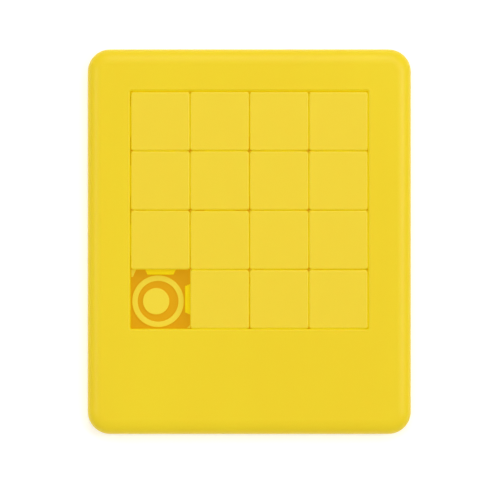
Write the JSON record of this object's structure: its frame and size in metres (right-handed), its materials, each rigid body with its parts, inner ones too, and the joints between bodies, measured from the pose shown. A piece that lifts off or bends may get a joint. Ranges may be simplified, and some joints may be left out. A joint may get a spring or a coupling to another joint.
{
  "type": "sliding tile puzzle",
  "caption": "Slim plastic case with a square tray of blank interlocking sliding tiles, one empty cell and a blank panel.",
  "frame": {"origin": "centre of the back, on the plane that the puzzle lies on", "axes": "+X to the right of the face, +Y up the face, +Z out of the front"},
  "size_m": [0.084, 0.1, 0.006],
  "materials": {
    "case_plastic": "satin injection-moulded yellow",
    "back_plastic": "satin injection-moulded yellow, amber where it is thin",
    "tile_plastic": "satin injection-moulded yellow"
  },
  "bodies": {
    "case": {"front_frame": "case_plastic", "back_plate": "back_plastic"},
    "tile_01": {"tile_01": "tile_plastic"},
    "tile_02": {"tile_02": "tile_plastic"},
    "tile_03": {"tile_03": "tile_plastic"},
    "tile_04": {"tile_04": "tile_plastic"},
    "tile_05": {"tile_05": "tile_plastic"},
    "tile_06": {"tile_06": "tile_plastic"},
    "tile_07": {"tile_07": "tile_plastic"},
    "tile_08": {"tile_08": "tile_plastic"},
    "tile_09": {"tile_09": "tile_plastic"},
    "tile_10": {"tile_10": "tile_plastic"},
    "tile_11": {"tile_11": "tile_plastic"},
    "tile_12": {"tile_12": "tile_plastic"},
    "tile_13": {"tile_13": "tile_plastic"},
    "tile_14": {"tile_14": "tile_plastic"},
    "tile_15": {"tile_15": "tile_plastic"}
  },
  "joints": [
    {"name": "tile_01_down", "type": "slide", "parent": "case", "child": "tile_01", "axis": [0, -1, 0], "range_m": [0, 0.0154]},
    {"name": "tile_05_down", "type": "slide", "parent": "case", "child": "tile_05", "axis": [0, -1, 0], "range_m": [0, 0.0154]},
    {"name": "tile_09_down", "type": "slide", "parent": "case", "child": "tile_09", "axis": [0, -1, 0], "range_m": [0, 0.0154]},
    {"name": "tile_15_left", "type": "slide", "parent": "case", "child": "tile_15", "axis": [1, 0, 0], "range_m": [-0.0154, 0]},
    {"name": "tile_14_left", "type": "slide", "parent": "case", "child": "tile_14", "axis": [1, 0, 0], "range_m": [-0.0154, 0]},
    {"name": "tile_13_left", "type": "slide", "parent": "case", "child": "tile_13", "axis": [1, 0, 0], "range_m": [-0.0154, 0]},
    {"name": "tile_02_play", "type": "slide", "parent": "case", "child": "tile_02", "axis": [1, 0, 0], "range_m": [-0.00005, 0.00005]},
    {"name": "tile_03_play", "type": "slide", "parent": "case", "child": "tile_03", "axis": [1, 0, 0], "range_m": [-0.00005, 0.00005]},
    {"name": "tile_04_play", "type": "slide", "parent": "case", "child": "tile_04", "axis": [1, 0, 0], "range_m": [-0.00005, 0.00005]},
    {"name": "tile_06_play", "type": "slide", "parent": "case", "child": "tile_06", "axis": [1, 0, 0], "range_m": [-0.00005, 0.00005]},
    {"name": "tile_07_play", "type": "slide", "parent": "case", "child": "tile_07", "axis": [1, 0, 0], "range_m": [-0.00005, 0.00005]},
    {"name": "tile_08_play", "type": "slide", "parent": "case", "child": "tile_08", "axis": [1, 0, 0], "range_m": [-0.00005, 0.00005]},
    {"name": "tile_10_play", "type": "slide", "parent": "case", "child": "tile_10", "axis": [1, 0, 0], "range_m": [-0.00005, 0.00005]},
    {"name": "tile_11_play", "type": "slide", "parent": "case", "child": "tile_11", "axis": [1, 0, 0], "range_m": [-0.00005, 0.00005]},
    {"name": "tile_12_play", "type": "slide", "parent": "case", "child": "tile_12", "axis": [1, 0, 0], "range_m": [-0.00005, 0.00005]}
  ],
  "couplings": [
    {"joint": "tile_05_down", "follows": "tile_01_down", "ratio": 1},
    {"joint": "tile_09_down", "follows": "tile_01_down", "ratio": 1},
    {"joint": "tile_14_left", "follows": "tile_15_left", "ratio": 1},
    {"joint": "tile_13_left", "follows": "tile_15_left", "ratio": 1}
  ]
}
